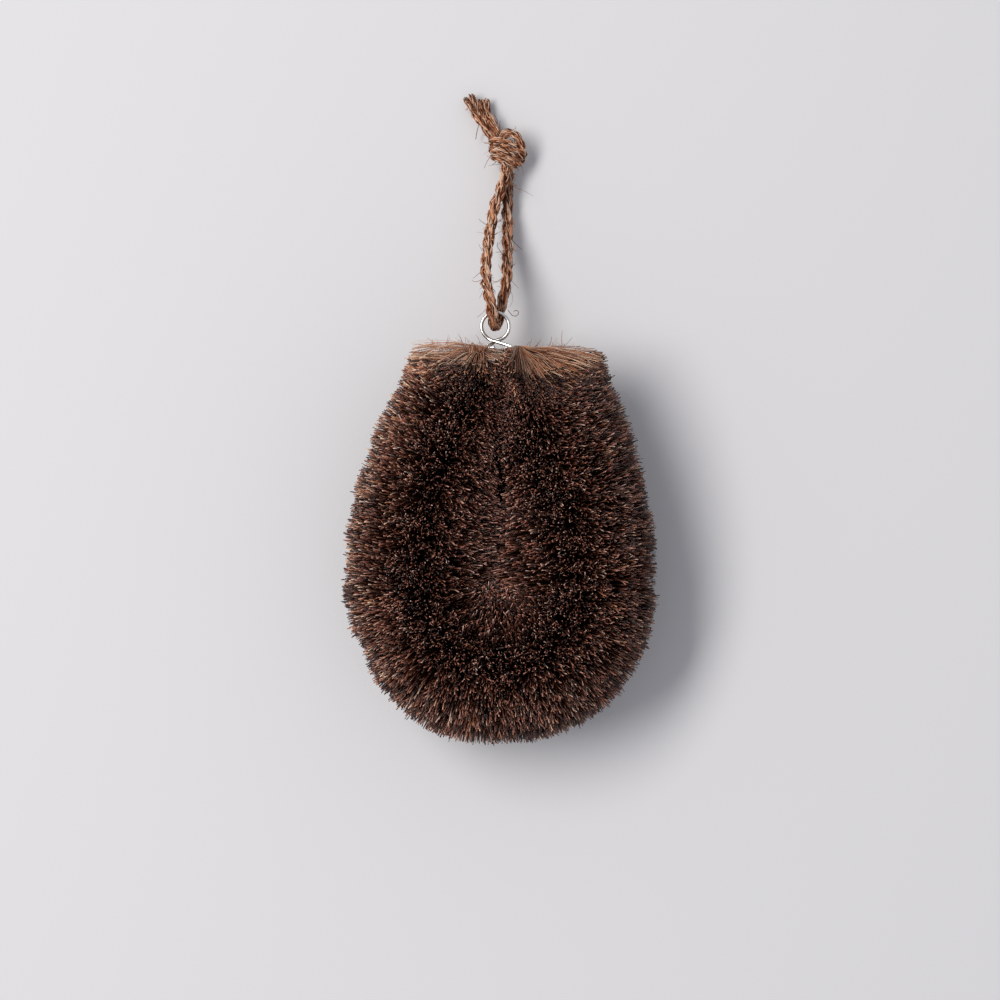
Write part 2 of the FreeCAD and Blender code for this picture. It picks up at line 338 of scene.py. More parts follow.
def lay_rope(name, line, diameter, seed, lay=LAY, open_end=0.0, end=1.0):
    """Three strands round line. open_end spreads the strands and ends the fibres raggedly."""
    rng = np.random.default_rng(seed)
    run = distance_along(line)
    side, rise = (f[0] for f in carried_frames(line[None]))
    share = run / run[-1]
    opening = 1 + open_end * np.clip(share - 0.35, 0, None) ** 1.5
    strand_radius = STRAND_RADIUS * diameter * MM
    offset = STRAND_OFFSET * diameter * MM * opening
    parts = []
    for strand in range(STRANDS):
        turn = 2 * np.pi * (strand / STRANDS - run / (lay * MM) * (1 - 0.15 * open_end * share))
        turn = turn + smooth_noise(rng, 1, run, 19 * MM, 0.16)[0]
        reach = offset * (1 + smooth_noise(rng, 1, run, 11 * MM, 0.07)[0])
        across, above = reach * np.cos(turn), reach * np.sin(turn)
        middle = line + side * across[:, None] + rise * above[:, None]
        swell = 1 + smooth_noise(rng, 1, run, 7 * MM, 0.06)[0]
        core = strand_radius * 0.72 * swell
        if open_end:
            core = core * np.clip(1.25 - share, 0.3, 1)
        core_name = f"{name}_core_{strand}"
        # The strand's core is painted the darkest shade: painted shade for the gaps between its fibres.
        dark = np.array([0.0])
        parts.append(thread_mesh(core_name, middle[None], core[None], dark, 8, end=end))

        even = np.arange(STRAND_FIBRES) + rng.uniform(-0.35, 0.35, STRAND_FIBRES)
        around = 2 * np.pi * even / STRAND_FIBRES
        spin = around[:, None] + 2 * np.pi * run[None] / (lay * 1.15 * MM)
        spin = spin + smooth_noise(rng, STRAND_FIBRES, run, 8 * MM, 0.3)
        lift = strand_radius * (0.8 + smooth_noise(rng, STRAND_FIBRES, run, 4 * MM, 0.13)) * swell
        bulge = open_end * 0.9 * np.clip(share - 0.3, 0, None)[None]
        lift = lift * (1 + bulge * rng.uniform(0.3, 1.5, (STRAND_FIBRES, 1)))
        fibres = (
            middle[None]
            + side[None] * (lift * np.cos(spin))[:, :, None]
            + rise[None] * (lift * np.sin(spin))[:, :, None]
        )
        if open_end:
            fibres = np.stack(
                [evenly_between(f, 0, rng.uniform(0.88, 1.0), len(line)) for f in fibres]
            )
        thick = FIBRE_ACROSS / 2 * MM * rng.uniform(0.62, 1.12, (STRAND_FIBRES, 1))
        thick = thick * (1 + smooth_noise(rng, STRAND_FIBRES, run, 6 * MM, 0.16))
        fibres[:, :, 2] = np.maximum(fibres[:, :, 2], 0.25 * MM)
        shades = rng.permutation(np.linspace(0.0, 1.0, STRAND_FIBRES))
        parts.append(thread_mesh(f"{name}_fibres_{strand}", fibres, thick, shades, 5, end=end))
    return joined(name, parts)


rope_loop = lay_rope("palm_rope_loop", loop_line, ROPE_DIAMETER, seed=3)
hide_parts("rope_loop")
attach(rope_loop, "hanging_rope")
print("rope loop laid with", STRANDS * STRAND_FIBRES, "fibres,", len(rope_loop.data.polygons), "faces")

# %% [markdown]
# ## The knot
#
# Both legs of the loop are tied together in one overhand knot. Each rope comes up through
# the middle, goes round the outside in bands that slope down to the right, and leaves at
# the top. Pulled tight, rope flattens, so it is laid a little thinner here. Its points are
# given round the knot's own middle.

# %% Tie the two legs
KNOT_MIDDLE = Vector((2.4, 123.4, 5.7))
KNOT_ROPE = 2.95
KNOT_LAY = 9.5
first_leg = [
    (-0.5, -7.2, 2.0), (-0.5, -5.0, 1.7), (-0.8, -1.0, 0.2), (-2.4, 2.8, -1.4), (-1.8, 4.8, 0.8),
    (0.4, 6.4, 1.8), (3.2, 4.8, 2.6), (4.6, 1.8, 2.2), (5.4, -2.2, 0.0), (2.6, -3.6, -3.2),
    (-2.6, -1.6, -3.4), (-5.2, 1.0, -0.6), (-3.4, 0.4, 3.4), (0.9, -1.5, 4.2), (4.4, -4.0, 1.0),
    (1.6, -3.6, -2.6), (-1.8, 0.2, -1.8), (-3.6, 3.4, 0.2), (-4.7, 5.2, 0.0), (-5.4, 6.6, -0.5),
]
second_leg = [
    (0.5, -7.2, -2.0), (0.4, -5.0, -1.6), (0.6, -1.6, -0.6), (-2.2, 2.0, -1.2), (-4.4, 3.0, -1.6),
    (-5.4, 3.4, 0.8), (-3.2, 3.2, 3.4), (1.0, 1.7, 4.2), (5.2, -0.8, 2.2), (4.2, -3.4, -2.2),
    (-0.6, -2.8, -3.5), (-4.4, -1.4, -1.2), (-4.0, -1.9, 2.4), (-0.4, -3.6, 3.7), (2.6, -5.2, 1.0),
    (0.8, -2.4, -1.4), (-0.8, 2.4, -0.8), (-2.2, 4.8, 0.2), (-3.2, 6.4, 0.0),
]
knot_parts = []
knot_routes = []
for number, leg in enumerate((first_leg, second_leg)):
    placed = [tuple(KNOT_MIDDLE + Vector(p)) for p in leg]
    knot_routes.append(nurbs_line(f"knot_route_{number}", placed))
    knot_line = evenly(knot_routes[-1], 0.55 * MM)
    name = f"knot_rope_{number}"
    part = lay_rope(name, knot_line, KNOT_ROPE, seed=21 + number, lay=KNOT_LAY, end=0.75)
    knot_parts.append(part)
rope_knot = joined("palm_rope_knot", knot_parts)
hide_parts("rope_knot")
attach(rope_knot, "hanging_rope")
print("knot tied,", len(rope_knot.data.polygons), "faces")

# %% [markdown]
# ## The two cut ends
#
# Past the knot the rope isn't whipped, so its strands have begun to come apart. The same
# rope is laid with an opening twist, and every fibre stops at its own length.

# %% Fray the tails
TAIL_ROPE = 3.3
TAIL_LAY = 17
tails = {
    "left": [
        (-2.3, 127.6, 5.4), (-3.2, 129.3, 5.0), (-5.7, 133.0, 4.2), (-8.2, 136.4, 3.3),
        (-10.5, 142.2, 2.5),
    ],
    "right": [
        (0.1, 127.8, 5.3), (-0.7, 129.3, 5.1), (-2.9, 133.0, 4.4), (-4.9, 136.2, 3.4),
        (-5.9, 141.0, 2.7),
    ],
}
rope_tails = []
tail_routes = []
for number, (hand, points) in enumerate(tails.items()):
    tail_routes.append(nurbs_line(f"tail_route_{hand}", points))
    tail_line = evenly(tail_routes[-1], 0.5 * MM)
    tail = lay_rope(
        f"palm_rope_tail_{hand}", tail_line, TAIL_ROPE,
        seed=41 + number, lay=TAIL_LAY, open_end=0.9, end=0.71,
    )
    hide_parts(f"rope_tail_{hand}")
    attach(tail, "hanging_rope")
    rope_tails.append(tail)
    print(tail.name, round(distance_along(tail_line)[-1] / MM, 1), "mm long")

# %% [markdown]
# ## Loose hairs on the rope
#
# Palm rope is never smooth: fibre ends work out of the strands and stand off it. Nearly
# three hundred fine hairs, most of them 1 to 4 mm long, start on the rope's surface and curl
# away. Two longer ones, a stray hair by the tails and a ringlet by the eye, are placed one
# by one.

# %% Curl a hair
HAIR_RINGS = 7
HAIR_CLEARANCE = 0.12 * MM  # from the table to the middle of a hair


def curled_hairs(rng, roots, ways, lengths, curl):
    """Curved lines from roots, setting off along ways and bending by about curl radians."""
    count = len(roots)
    spin = rng.normal(size=(count, 3))
    spin /= np.linalg.norm(spin, axis=1, keepdims=True)
    bend = rng.normal(0, curl, (count, 1))
    lines = np.zeros((count, HAIR_RINGS, 3))
    lines[:, 0] = roots
    way = ways / np.linalg.norm(ways, axis=1, keepdims=True)
    for k in range(1, HAIR_RINGS):
        lines[:, k] = lines[:, k - 1] + way * lengths[:, None] / (HAIR_RINGS - 1)
        way = way + np.cross(spin, way) * bend / (HAIR_RINGS - 1)
        way /= np.linalg.norm(way, axis=1, keepdims=True)
    lines[:, :, 2] = np.maximum(lines[:, :, 2], HAIR_CLEARANCE)
    return lines


print("a hair is drawn with", HAIR_RINGS, "rings")

# %% Pull hairs out of the rope
rng = np.random.default_rng(77)
# each stretch of rope, its radius in mm and its number of hairs
whole_rope = [(loop_line, 0.5 * ROPE_DIAMETER, 120)]
whole_rope += [(line, 1.5, 60) for line in knot_routes]
whole_rope += [(line, 1.7, 26) for line in tail_routes]
hair_lines = []
for line, reach, count in whole_rope:
    picks = rng.integers(1, len(line) - 1, count)
    along = line[picks + 1] - line[picks - 1]
    along /= np.linalg.norm(along, axis=1, keepdims=True)
    out = np.cross(along, rng.normal(size=(count, 3)))
    out /= np.linalg.norm(out, axis=1, keepdims=True)
    lengths = np.clip(rng.gamma(2.2, 1.1, count), 1.0, 7.5) * MM
    slant = along * rng.choice([-1, 1], (count, 1)) * rng.uniform(0.3, 1.6, (count, 1))
    roots = line[picks] + out * reach * 0.8 * MM  # a little under the rope's surface
    hair_lines.append(curled_hairs(rng, roots, out + slant, lengths, 1.2))
long_hair = nurbs_line(
    "long_hair", [(-4.6, 134.6, 3.0), (-6.6, 133.4, 3.6), (-7.6, 130.6, 3.2), (-8.0, 127.8, 2.4)]
)
ringlet = nurbs_line(
    "ringlet",
    [
        (2.6, 70.5, 17.0), (3.6, 68.6, 17.2), (5.4, 68.2, 17.4),
        (6.3, 69.6, 17.6), (5.4, 70.7, 17.6), (4.4, 70.0, 17.4),
    ],
)
hair_lines.append(np.stack([evenly_between(h, 0, 1, HAIR_RINGS) for h in (long_hair, ringlet)]))
hair_lines = np.concatenate(hair_lines)
thin = rng.uniform(0.07, 0.13, (len(hair_lines), 1)) * MM * np.linspace(1, 0.55, HAIR_RINGS)
thin[-2:] = 0.13 * MM
hair_shades = rng.uniform(0, 0.8, len(hair_lines))
hair_shades[-2:] = 0.2
rope_hairs = thread_mesh("palm_rope_hairs", hair_lines, thin, hair_shades)
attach(rope_hairs, "hanging_rope")
print(len(hair_lines), "loose hairs on the rope")

# %% [markdown]
# ## What the cord is
#
# Whoever uses the brush in a simulation needs to know that the loop isn't a stiff rod:
# it is limp and loosely laid. The knot, both tails and the hairs hang from the same body
# as the loop.

# %% [markdown]
# ## The wires
#
# Two steel wires are twisted together to grip the fibre. One of them comes out of both rod
# ends, crosses itself and closes in the hanging eye. The other is cut, and its ends are bent
# over the middle so that the rod can't open. Drawn wire is smooth and truly round, so these
# are swept with many sides. The bends are made by cutting corners off a few placed points.

# %% Bend the eye and the two wire ends
WIRE = 1.2
WIRE_SIDES = 20
EYE_MIDDLE = Vector((-1.5, 64.9, 21.0))
EYE_RADIUS = 4.5
ROD_X = 6.0  # how far the two rod ends stand from the middle
IN_TUFT_Y = 54.3  # where the free wires start, inside the end tufts


def rounded(points, times=3):
    """Cuts each corner of a chain of points, keeping its two ends."""
    line = np.array([tuple(p) for p in points], float)
    for _ in range(times):
        near = 0.75 * line[:-1] + 0.25 * line[1:]
        far = 0.25 * line[:-1] + 0.75 * line[1:]
        cut = np.stack([near, far], 1).reshape(-1, 3)
        line = np.concatenate([line[:1], cut[1:-1], line[-1:]])
    return line


def wire_piece(name, points):
    """One round wire along a chain of points in mm."""
    line = evenly(np.array(points) * MM, 0.3 * MM)
    radii = np.full((1, len(line)), WIRE / 2 * MM)
    return thread_mesh(name, line[None], radii, np.array([0.5]), WIRE_SIDES)


ring = [
    EYE_MIDDLE + EYE_RADIUS * Vector((math.cos(math.radians(a)), math.sin(math.radians(a)), 0))
    for a in range(-75, 226, 5)
]
to_left_rod = [
    (-ROD_X, IN_TUFT_Y, 24.3), (-ROD_X, 57.4, 24.3), (-2.7, 59.2, 19.9),
    ring[0] - Vector((1.16, 0.3, 0.1)),
]
to_right_rod = [
    ring[-1] + Vector((1.3, -1.25, 0.1)),
    (-0.9, 59.8, 22.2), (5.4, 57.6, 24.2), (ROD_X, IN_TUFT_Y, 24.3),
]
eye_wire = wire_piece("steel_hanging_eye", rounded([*to_left_rod, *ring, *to_right_rod], 2))
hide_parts("hanging_eye")
wires = [eye_wire]
for hand, way in (("left", -1), ("right", 1)):
    low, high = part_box(f"wire_end_{hand}")
    top = high.z / MM - WIRE / 2
    bent = [(way * ROD_X, IN_TUFT_Y, 25.7), (way * ROD_X, 57.2, 25.7), (way * 1.7, 57.8, top)]
    end = wire_piece(f"steel_wire_end_{hand}", rounded(bent))
    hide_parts(f"wire_end_{hand}")
    wires.append(end)
for piece in wires:
    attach(piece, "brush")
print("eye", round(2 * EYE_RADIUS + WIRE, 1), "mm across outside")

# %% [markdown]
# ## The path of the bristle roll
#
# The brush is made straight, as a roll of bristles on a twisted rod, and then bent in a
# teardrop. The rod follows five arcs: a reverse bend at each neck, two long legs and the
# round foot. Knowing a point's place along the rod gives the middle, the way along it and
# the way out from the bend, and every bristle stands on those three.

# %% Follow the rod
# side is -1 on the left leg, 1 on the right one and 0 round the foot
Arc = namedtuple("Arc", "centre radius first turn first_tuft tufts side")
rod_arcs = [
    Arc((-48.0, 56.0), 42.0, 0.0, -28.07, 1, 2, -1),
    Arc((94.5, -20.0), 119.5, 151.93, 28.07, 3, 4, -1),
    Arc((0.0, -20.0), 25.0, 180.0, 180.0, 7, 6, 0),
    Arc((-94.5, -20.0), 119.5, 0.0, 28.07, 13, 4, 1),
    Arc((48.0, 56.0), 42.0, 208.07, -28.07, 17, 2, 1),
]


def arc_length(arc):
    """The length of rod on one arc, in mm."""
    return math.radians(abs(arc.turn)) * arc.radius


def on_rod(arc, share):
    """Middle, direction and outward direction at shares of an arc, as arrays."""
    angle = np.radians(arc.first + arc.turn * share)
    out = np.stack([np.cos(angle), np.sin(angle), np.zeros_like(angle)], 1)
    way = math.copysign(1, arc.turn)
    along = way * np.stack([-out[:, 1], out[:, 0], out[:, 2]], 1)
    middle = np.array([*arc.centre, ROD_Z]) + arc.radius * out
    return middle, along, out


rod_length = sum(arc_length(arc) for arc in rod_arcs)
print("rod", round(rod_length, 1), "mm long, in", sum(arc.tufts for arc in rod_arcs), "tufts")

# %% [markdown]
# ## Bristles
#
# A turn of the wires grips a bundle of fibres by the middle, and they stand out all round
# like a bottle brush. Each tuft is one piece with a few thousand tapered threads. They are
# worked out together as arrays, in which each row is one fibre. A particle system could
# scatter them, but it couldn't bend each one round its neighbours.
#
# The next cells treat a fibre as a brush maker would. It is planted, gathered in a clump,
# trimmed, laid back if it stands at an open end, crowded if it stands inside the bend, and
# at last curved and given its shade. The numbers of a tuft are kept together in one bundle
# of values that each step adds to. Lengths are in mm here, and angles in radians unless a
# comment says degrees.

# %% Sizes that all the steps share
BRISTLE = 25.0
BRISTLES_PER_TUFT = 3500
UP = np.array([0, 0, 1.0])


def bump(where, centre, width):
    """A smooth hill of height 1 at centre."""
    return np.exp(-(((where - centre) / width) ** 2))


def fading(distance, reach):
    """1 at no distance, about a third at reach, and then towards 0."""
    return np.exp(-distance / reach)


def drift(along_mm, angle, seed, wavelength):
    """A smooth field over the roll, from about -1 to 1."""
    rng = np.random.default_rng(seed)
    total = np.zeros_like(along_mm)
    for _ in range(7):
        pace = rng.normal(0, 1 / wavelength)
        waves = rng.integers(-3, 4)
        total += np.sin(2 * np.pi * pace * along_mm + waves * angle + rng.uniform(0, 2 * np.pi))
    return total / 2.6


print(BRISTLES_PER_TUFT, "bristles a tuft,", BRISTLE, "mm from the rod to their tips")

# %% [markdown]
# ### Planting
#
# Roots are scattered along the rod and round it. Inside a bend the tips come closer
# together than the roots, so fewer are kept there and the tips end up equally dense.

# %% Plant the roots of a tuft
EVEN_AT = 0.85 * BRISTLE  # mm from the rod at which the fibres stand equally dense
LOOSE_REACH = 4.0  # mm from an open end, within which fibres are held loosely


def plant(arc, place, before):
    """A new tuft's fibres, by their roots. before is the rod's length up to this arc."""
    tuft = SimpleNamespace(arc=arc, side=arc.side, number=arc.first_tuft + place)
    tuft.rng = np.random.default_rng(500 + tuft.number)
    tuft.on_left = tuft.number < 10
    share = (place + tuft.rng.uniform(0, 1, BRISTLES_PER_TUFT * 4)) / arc.tufts
    angle = tuft.rng.uniform(0, 2 * np.pi, len(share))
    room = (arc.radius + EVEN_AT * np.cos(angle)) / (arc.radius + EVEN_AT)
    kept = tuft.rng.uniform(0, 1, len(share)) < room
    tuft.share = share[kept][:BRISTLES_PER_TUFT]
    tuft.angle = angle[kept][:BRISTLES_PER_TUFT]
    tuft.count = len(tuft.share)
    tuft.middle, tuft.along, tuft.out = on_rod(arc, tuft.share)
    tuft.run = before + arc_length(arc) * tuft.share
    tuft.from_end = np.minimum(tuft.run, rod_length - tuft.run)
    tuft.toward = np.where(tuft.run < rod_length / 2, 1.0, -1.0)
    tuft.loose = fading(tuft.from_end, LOOSE_REACH)
    return tuft


print("planting is evened out", EVEN_AT, "mm from the rod")

# %% [markdown]
# ### Clumps
#
# Waxy fibres cling together at their tips. The roll is divided into cells, each cell has
# its own middle and its own tilt, and most fibres lean towards it. The rest stand alone,
# some of them quite wildly. At the outline of the brush the fibres are combed calmer.

# %% Gather the tips
CLUMP = 2.3  # mm between the middles of neighbouring clumps, at the tips
CLINGING = 0.7  # the share of fibres that cling to a clump
WILD = 0.3  # the share of fibres that stray, and how much further they do
WILD_TIMES = 2.4
CLUMP_KINDS = 4096


def gather(tuft):
    """Gives each fibre the angle that its tip points to, and its lean along the rod."""
    rng, run, angle, count = tuft.rng, tuft.run, tuft.angle, tuft.count
    cell = np.stack([np.floor(run / CLUMP), np.floor(angle * BRISTLE / CLUMP)], 1)
    code = (cell[:, 0] * 131 + cell[:, 1] * 17).astype(int) % CLUMP_KINDS
    shift = np.random.default_rng(9).uniform(0.15, 0.85, (CLUMP_KINDS, 2))[code]
    tilt = np.random.default_rng(10).normal(0, 1, (CLUMP_KINDS, 2))[code]
    goal = (cell + shift) * CLUMP
    clings = rng.uniform(0, 1, count) < CLINGING
    firmly = rng.uniform(0.4, 0.8, count)
    pull = np.where(clings, firmly, rng.uniform(0, 0.3, count))
    wild = np.where(rng.uniform(0, 1, count) < WILD, WILD_TIMES, 1.0)
    calm = 1 - 0.45 * np.abs(np.cos(angle))
    tip_angle = angle + pull * (goal[:, 1] / BRISTLE - angle + 0.1 * tilt[:, 1])
    tip_angle = tip_angle + 0.05 * wild * calm * rng.normal(0, 1, count)
    lean = pull * (goal[:, 0] - run + 1.8 * tilt[:, 0])
    lean = lean + 1.2 * wild * calm * rng.normal(0, 1, count) + 1.1 * drift(run, angle, 5, 12)
    tuft.tip_angle = tip_angle + 0.08 * drift(run, angle, 6, 16)
    tuft.lean = lean
    tuft.tone = tilt[:, 1]


print("clumps stand", CLUMP, "mm apart")

# %% [markdown]
# ### Trimming
#
# The roll is sheared to one length, though not perfectly: many fibres end short, and a few
# in a thousand were missed. Round the foot, two places are worn and the two beside them are
# full. The open ends are sheared straight across, lower where the wires cross.

# %% Trim the fibres
TRIM_SLACK = 0.5  # mm that the average uncut tip stands past the nominal length
SHORT = 0.45  # the share of fibres that end short
MISSED = 0.004  # the share that the shears missed
LOWEST_TIP = 0.12
TOP_SLACK = 0.6  # mm that tips may stand past the top of the roll
# places across the brush, and how far up the open ends reach there
TRIM_LINE = [
    (-30, 59.3), (-8, 58.9), (-5, 59.2), (-2, 56.4), (5, 56.4),
    (8, 58.8), (20, 58.4), (30, 56.6), (35, 50),
]


def trim(tuft):
    """Gives each fibre its length."""
    rng, count = tuft.rng, tuft.count
    long = BRISTLE + TRIM_SLACK + rng.normal(0, 0.4, count)
    long = long + 0.5 * drift(tuft.run, tuft.angle, 7, 14)
    if tuft.side == 0:
        heading = 180 + 180 * tuft.share  # degrees round the foot, 270 at its lowest point
        worn = 2.4 * bump(heading, 205, 11) + 0.6 * bump(heading, 270, 15)
        full = 0.9 * bump(heading, 238, 14) + 1.1 * bump(heading, 306, 15)
        long = long + (full - worn) * np.clip(np.cos(tuft.angle), 0, 1)
    luck = rng.uniform(0, 1, count)
    long = np.where(luck < SHORT, long - rng.uniform(0.3, 4.6, count), long)
    tuft.long = np.where(luck > 1 - MISSED, long + rng.uniform(0.5, 1.6, count), long)


def shear_ends(tuft):
    """Cuts the open ends to the trim line, and keeps every tip above the table."""
    tips = tuft.tips
    trim_x, trim_y = zip(*TRIM_LINE)
    level = np.interp(tips[:, 0], trim_x, trim_y)
    past = np.clip(tips[:, 1] - level, 0, 4)
    tips[:, 1] = np.minimum(tips[:, 1], level + 0.15 * past)
    tips[:, 2] = np.clip(tips[:, 2], LOWEST_TIP, 2 * ROD_Z + TOP_SLACK)


print("trimmed:", SHORT, "of the fibres end short")

# %% [markdown]
# ### The open ends
#
# At the rod's two ends nothing holds the last turns, so they lie back over their
# neighbours like a fan: a little on the left, and further and over more turns on the right.
# Fibres that face up or down are the freest to do it, most of all those that lean towards
# the outline. On the left the very last ones splay out past the end instead.

# %% Stand the fibres up and lay the last ones back
LEFT_FAN = {"lie": 46, "reach": 3.6, "splay": 2.0}  # degrees, mm, degrees
RIGHT_FAN = {"lie": 60, "reach": 9.0, "splay": 0.0}


def stand(tuft):
    """Places the tips. facing is how far a fibre points up, outward how far to the outline."""
    fan = LEFT_FAN if tuft.on_left else RIGHT_FAN
    across = np.cos(tuft.tip_angle)
    tuft.facing = np.sin(tuft.tip_angle)
    back = np.radians(fan["lie"]) * fading(tuft.from_end, fan["reach"]) * np.abs(tuft.facing) ** 1.6
    to_outline = np.clip(1.6 * tuft.side * across * np.sign(tuft.out[:, 0]), -1, 1)
    back = back * (0.6 + 0.4 * to_outline)
    back = back - np.radians(fan["splay"]) * fading(tuft.from_end, 3.0)
    back = back + np.radians(5) * tuft.rng.normal(0, 1, tuft.count) * tuft.loose
    reach = (
        tuft.out * across[:, None] * np.cos(back)[:, None]
        + UP * (tuft.facing * np.cos(back))[:, None]
        + tuft.along * (tuft.toward * np.sin(back))[:, None]
    )
    lean = tuft.lean * (1 - 0.6 * tuft.loose)
    tuft.tips = tuft.middle + reach * tuft.long[:, None] + tuft.along * lean[:, None]
    away = np.array([tuft.side, 0.0, 0.0]) if tuft.side else tuft.out
    tuft.outward = np.clip(((tuft.tips - tuft.middle) * away).sum(1) / BRISTLE, 0, 1)


print("fans lie back", LEFT_FAN["lie"], "and", RIGHT_FAN["lie"], "degrees")

# %% [markdown]
# ### The crowded middle
#
# Inside the bend there is no room. The fibres of the two legs press on each other, and
# turn up or down instead of crossing. Their tips make a shallow dish: its slopes start a
# quarter of the way in from the rod, and it is deepest at the seam and at the foot.

# %% Crowd the fibres inside the bend
CROSSING = 0.3  # mm that fibres of one leg reach in among the other's
FOOT_HOLE = 1.4  # mm from the middle of the foot's bend to the nearest tip
DISH = 7.0  # mm that the seam between the legs lies lower than their tops, at the foot
DISH_RISE = 4.0  # mm that the dish gets shallower towards the eye
FOOT_Y = -20.0  # where the legs start
LEG_RISE = 76.0  # mm from there to the open ends


def crowd(tuft):
    """Moves the tips that would meet, and marks their fibres as crowded."""
    tips, middle, side, rng = tuft.tips, tuft.middle, tuft.side, tuft.rng
    centre = np.array(tuft.arc.centre)
    if side:
        rod_in = side * middle[:, 0]
        tip_in = side * tips[:, 0]
        nearest = -CROSSING
    else:
        rod_in = np.full(tuft.count, float(tuft.arc.radius))
        tip_in = np.linalg.norm(tips[:, :2] - centre, axis=1)
        nearest = FOOT_HOLE
    slope_start = 0.75 * rod_in
    lowest = rod_in - BRISTLE
    crowded = tip_in < slope_start
    squeeze = (slope_start - nearest) / np.maximum(slope_start - lowest, 1e-6)
    placed = np.maximum(nearest + (tip_in - lowest) * squeeze, nearest) + rng.normal(0, 0.6, tuft.count)

    depth = DISH - DISH_RISE * np.clip((middle[:, 1] - FOOT_Y) / LEG_RISE, 0, 1)
    rim = np.sqrt(BRISTLE**2 - (0.25 * rod_in) ** 2)
    inwards = np.clip(1 - placed / slope_start, 0, 1)
    height = rim - depth * inwards**1.6
    height = np.where(rng.uniform(0, 1, tuft.count) < 0.4, 0.82, 1.0) * height
    height = np.sign(tuft.facing) * height * np.clip(tuft.long / BRISTLE, 0, 1.02)
    height = height * np.clip(np.abs(tuft.facing) / 0.12, 0, 1)
    if side:
        seam = 1.3 * np.sin(0.19 * tips[:, 1] + 1.0) + 0.8 * np.sin(0.47 * tips[:, 1])
        tips[:, 0] = np.where(crowded, side * placed + seam * inwards, tips[:, 0])
    else:
        way = (tips[:, :2] - centre) / np.maximum(tip_in, 1e-6)[:, None]
        tips[:, :2] = np.where(crowded[:, None], centre + way * placed[:, None], tips[:, :2])
    tips[:, 2] = np.where(crowded, ROD_Z + height, tips[:, 2])
    tips[:, 1] -= np.where(crowded, 5.0 * tuft.loose * np.abs(tuft.facing), 0.0)
    tuft.crowded = crowded


print("the middle is a dish up to", DISH, "mm deep")

# %% [markdown]
# ### Curves
#
# A fibre leaves the rod square to it and bends towards its own tip, so its line is a curve
# from three points: root, belly and tip. Crowded fibres have no room to bend and run almost
# straight. On the right leg they are also combed, so that their tips point to the eye.

# %% Curve the fibres
GRIP = 0.9  # mm from the rod's middle to a root
ROOT_LIFT = 2.4  # mm that the very last roots are pushed past the rod's ends
RING_PLACES = np.array([0.0, 0.4, 0.74, 0.92, 1.0])  # the last two rings shape the tip
OVERHANG = 2.4  # mm that the tips at the open ends lean to the right
ABOVE_TABLE = 0.2


def curve(tuft):
    """The lines of all the fibres, with one point for each ring."""
    tips, angle, crowded, rng = tuft.tips, tuft.angle, tuft.crowded, tuft.rng
    straight = tuft.out * np.cos(angle)[:, None] + UP * np.sin(angle)[:, None]
    roots = tuft.middle + GRIP * straight
    roots[:, 1] += ROOT_LIFT * fading(tuft.from_end, 1.5)
    belly = roots + (tips - roots) * 0.5
    span = np.linalg.norm(tips - roots, axis=1)[:, None]
    belly = belly + 0.22 * (straight * span - (tips - roots))
    upright = roots + [0.58, 0.58, 0.55] * (tips - roots)
    belly = np.where(crowded[:, None], upright, belly) + rng.normal(0, 1.0, (tuft.count, 3))
    lift = np.where(crowded, -1.0, 2.6) * fading(tuft.from_end, 2.0)
    belly[:, 1] += lift * np.abs(np.cos(angle))
    if tuft.side > 0:
        combed = np.clip((tuft.middle[:, 1] + 2) / 30, 0, 1) * crowded * (1 - tuft.loose)
        tips[:, :2] += combed[:, None] * [0.2, 0.8]
        belly[:, :2] -= combed[:, None] * [1.2, 2.4]
    t = RING_PLACES[None, :, None]
    lines = roots[:, None] * (1 - t) ** 2 + 2 * belly[:, None] * t * (1 - t) + tips[:, None] * t**2
    lines[:, -1] += rng.normal(0, 0.28, (tuft.count, 3))
    up_leg = np.clip((lines[:, :, 1] - FOOT_Y) / LEG_RISE, 0, 1)
    lines[:, :, 0] += OVERHANG * up_leg**2 * np.clip((t[..., 0] - 0.2) / 0.8, 0, 1)
    lines[:, :, 2] = np.maximum(lines[:, :, 2], ABOVE_TABLE)
    return lines


print("each fibre has", len(RING_PLACES), "rings")

# %% [markdown]
# ### Thickness and shade
#
# Real palm fibre is finer than these threads and there is more of it. It is drawn coarser,
# so that fewer threads close the pile.
#
# On the map, the left four fifths are the dark bristle, from nearly black to tan, and the
# right fifth is the pale fibre that shows at the open ends and, here and there, at the
# outline. At the outline, where it reaches further down the left side, the pale fibre is
# partly real and partly painted light from the lamp on the left. Clumps at the outline also
# differ in shade. Upward-facing fibres a little below the open ends are painted darker:
# painted shade for the deep gaps there. Pale fibres start further up the map, loose ones at
# the open ends furthest, and dark fibres at the outline a little, so less painted shade
# falls on their roots. Pale fibres that lie open, at the open ends and at the outline, are
# painted a little lighter still: painted light.

# %% Shade the fibres
BRISTLE_THICK = 0.44
DARK_END = 0.78  # the dark bristles end here across the map
PALE_START = 0.79


def thickness(tuft):
    """The radius of each fibre at its rings. It tapers to the tip, and is finer where it is loose."""
    each = tuft.rng.uniform(0.72, 1.25, (tuft.count, 1))
    width = BRISTLE_THICK / 2 * each * (1.05 - 0.3 * RING_PLACES)
    return width * (1 - 0.25 * tuft.loose[:, None])


